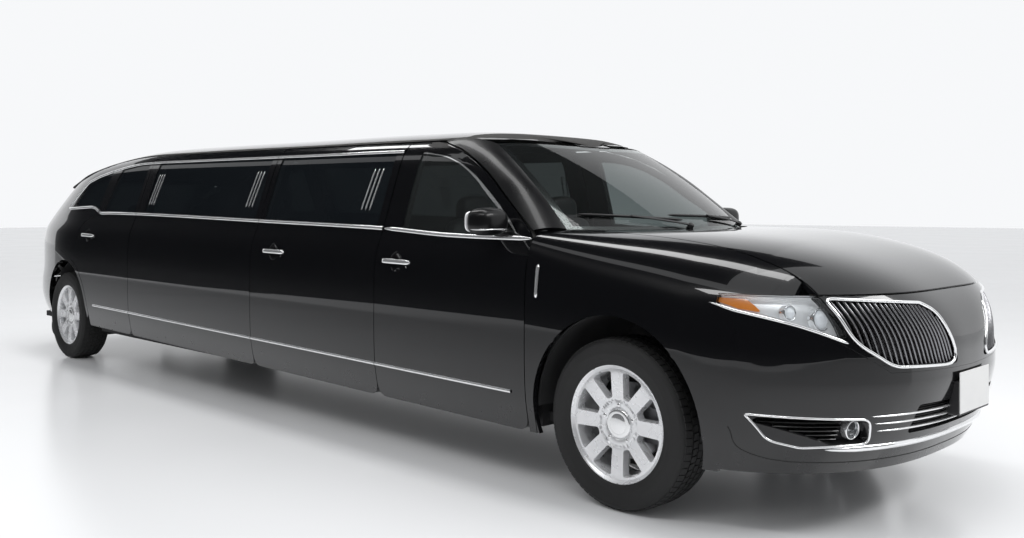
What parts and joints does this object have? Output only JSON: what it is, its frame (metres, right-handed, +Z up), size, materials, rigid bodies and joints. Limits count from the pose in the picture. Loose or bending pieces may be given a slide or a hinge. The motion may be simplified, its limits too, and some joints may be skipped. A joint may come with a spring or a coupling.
{
  "type": "stretch limousine",
  "caption": "Long-wheelbase black limousine with five side doors, opening hood and liftgate, steered front wheels, spoked alloy wheels and a hollow cabin with seats.",
  "frame": {"origin": "on the ground below the middle of the car", "axes": "+X forward to the nose, +Y to the car's left, +Z up"},
  "size_m": [8.3734, 2.21, 1.7804],
  "materials": {
    "body_paint": "deep gloss black",
    "dark_glass": "dark tinted glass",
    "clear_glass": "clear glass",
    "chrome": "polished",
    "lamp_lens": "clear lens over reflectors",
    "tail_lens": "red lens",
    "black_trim": "textured black",
    "plate_white": "satin white, blank",
    "underbody": "matt sealed",
    "engine_grey": "cast",
    "steel": "machined",
    "tyre_rubber": "matt",
    "wheel_alloy": "bright machined",
    "seat_leather": "soft grain",
    "cabin_trim": "soft touch"
  },
  "bodies": {
    "chassis": {"stretch_panels": "body_paint", "stretch_glass": "dark_glass", "roof": "body_paint", "windscreen": "clear_glass", "screen_pillars": "body_paint", "front_fenders": "body_paint", "front_bumper": "body_paint", "nose_panel": "body_paint", "cowl": "black_trim", "rear_corner_panels": "body_paint", "grille": "chrome", "headlamps": "lamp_lens", "fog_lamps": "lamp_lens", "intake_grille": "black_trim", "plate_bracket": "black_trim", "front_plate": "plate_white", "quarter_panels": "body_paint", "quarter_glass": "dark_glass", "rear_bumper": "body_paint", "floor": "underbody", "wheel_housings": "black_trim", "door_pillars": "cabin_trim", "front_suspension": "steel", "rear_suspension": "steel", "engine": "engine_grey", "exhaust": "steel", "front_seats": "seat_leather", "rear_seat": "seat_leather", "side_seat": "seat_leather", "partition": "cabin_trim", "dashboard": "cabin_trim", "steering_wheel": "cabin_trim", "antenna": "black_trim"},
    "front_door_right": {"front_door_right": "body_paint", "front_door_glass_right": "dark_glass", "door_mirror_right": "body_paint"},
    "front_door_left": {"front_door_left": "body_paint", "front_door_glass_left": "dark_glass", "door_mirror_left": "body_paint"},
    "fifth_door": {"fifth_door_right": "body_paint", "fifth_door_glass_right": "dark_glass"},
    "rear_door_right": {"rear_door_right": "body_paint", "rear_door_glass_right": "dark_glass"},
    "rear_door_left": {"rear_door_left": "body_paint", "rear_door_glass_left": "dark_glass"},
    "hood": {"hood": "body_paint"},
    "liftgate": {"liftgate": "body_paint", "rear_glass": "dark_glass", "tail_lamps": "tail_lens"},
    "knuckle_left": {"knuckle_front_left": "steel"},
    "knuckle_right": {"knuckle_front_right": "steel"},
    "wheel_front_left": {"tyre_front_left": "tyre_rubber", "wheel_front_left": "wheel_alloy"},
    "wheel_front_right": {"tyre_front_right": "tyre_rubber", "wheel_front_right": "wheel_alloy"},
    "wheel_rear_left": {"tyre_rear_left": "tyre_rubber", "wheel_rear_left": "wheel_alloy"},
    "wheel_rear_right": {"tyre_rear_right": "tyre_rubber", "wheel_rear_right": "wheel_alloy"}
  },
  "joints": [
    {"name": "front_door_right_hinge", "type": "hinge", "parent": "chassis", "child": "front_door_right", "pos_m": [2.475, -0.951, 0.7], "axis": [0, 0, 1], "range_deg": [0, 65]},
    {"name": "front_door_left_hinge", "type": "hinge", "parent": "chassis", "child": "front_door_left", "pos_m": [2.475, 0.951, 0.7], "axis": [0, 0, -1], "range_deg": [0, 65]},
    {"name": "fifth_door_hinge", "type": "hinge", "parent": "chassis", "child": "fifth_door", "pos_m": [1.335, -0.951, 0.7], "axis": [0, 0, 1], "range_deg": [0, 65]},
    {"name": "rear_door_right_hinge", "type": "hinge", "parent": "chassis", "child": "rear_door_right", "pos_m": [-1.775, -0.951, 0.7], "axis": [0, 0, 1], "range_deg": [0, 65]},
    {"name": "rear_door_left_hinge", "type": "hinge", "parent": "chassis", "child": "rear_door_left", "pos_m": [-1.775, 0.951, 0.7], "axis": [0, 0, -1], "range_deg": [0, 65]},
    {"name": "hood_hinge", "type": "hinge", "parent": "chassis", "child": "hood", "pos_m": [2.65, 0, 1.15], "axis": [0, -1, 0], "range_deg": [0, 50]},
    {"name": "liftgate_hinge", "type": "hinge", "parent": "chassis", "child": "liftgate", "pos_m": [-3.36, 0, 1.58], "axis": [0, 1, 0], "range_deg": [0, 80]},
    {"name": "steering_left", "type": "hinge", "parent": "chassis", "child": "knuckle_left", "pos_m": [3.035, 0.77, 0.3705], "axis": [0, 0, 1], "range_deg": [-35, 35]},
    {"name": "steering_right", "type": "hinge", "parent": "chassis", "child": "knuckle_right", "pos_m": [3.035, -0.77, 0.3705], "axis": [0, 0, 1], "range_deg": [-35, 35]},
    {"name": "wheel_front_left_spin", "type": "hinge", "parent": "knuckle_left", "child": "wheel_front_left", "pos_m": [3.035, 0.825, 0.3705], "axis": [0, 1, 0], "continuous": true},
    {"name": "wheel_front_right_spin", "type": "hinge", "parent": "knuckle_right", "child": "wheel_front_right", "pos_m": [3.035, -0.825, 0.3705], "axis": [0, 1, 0], "continuous": true},
    {"name": "wheel_rear_left_spin", "type": "hinge", "parent": "chassis", "child": "wheel_rear_left", "pos_m": [-3.008, 0.825, 0.3705], "axis": [0, 1, 0], "continuous": true},
    {"name": "wheel_rear_right_spin", "type": "hinge", "parent": "chassis", "child": "wheel_rear_right", "pos_m": [-3.008, -0.825, 0.3705], "axis": [0, 1, 0], "continuous": true}
  ],
  "couplings": [
    {"joint": "steering_right", "follows": "steering_left", "ratio": 1}
  ]
}
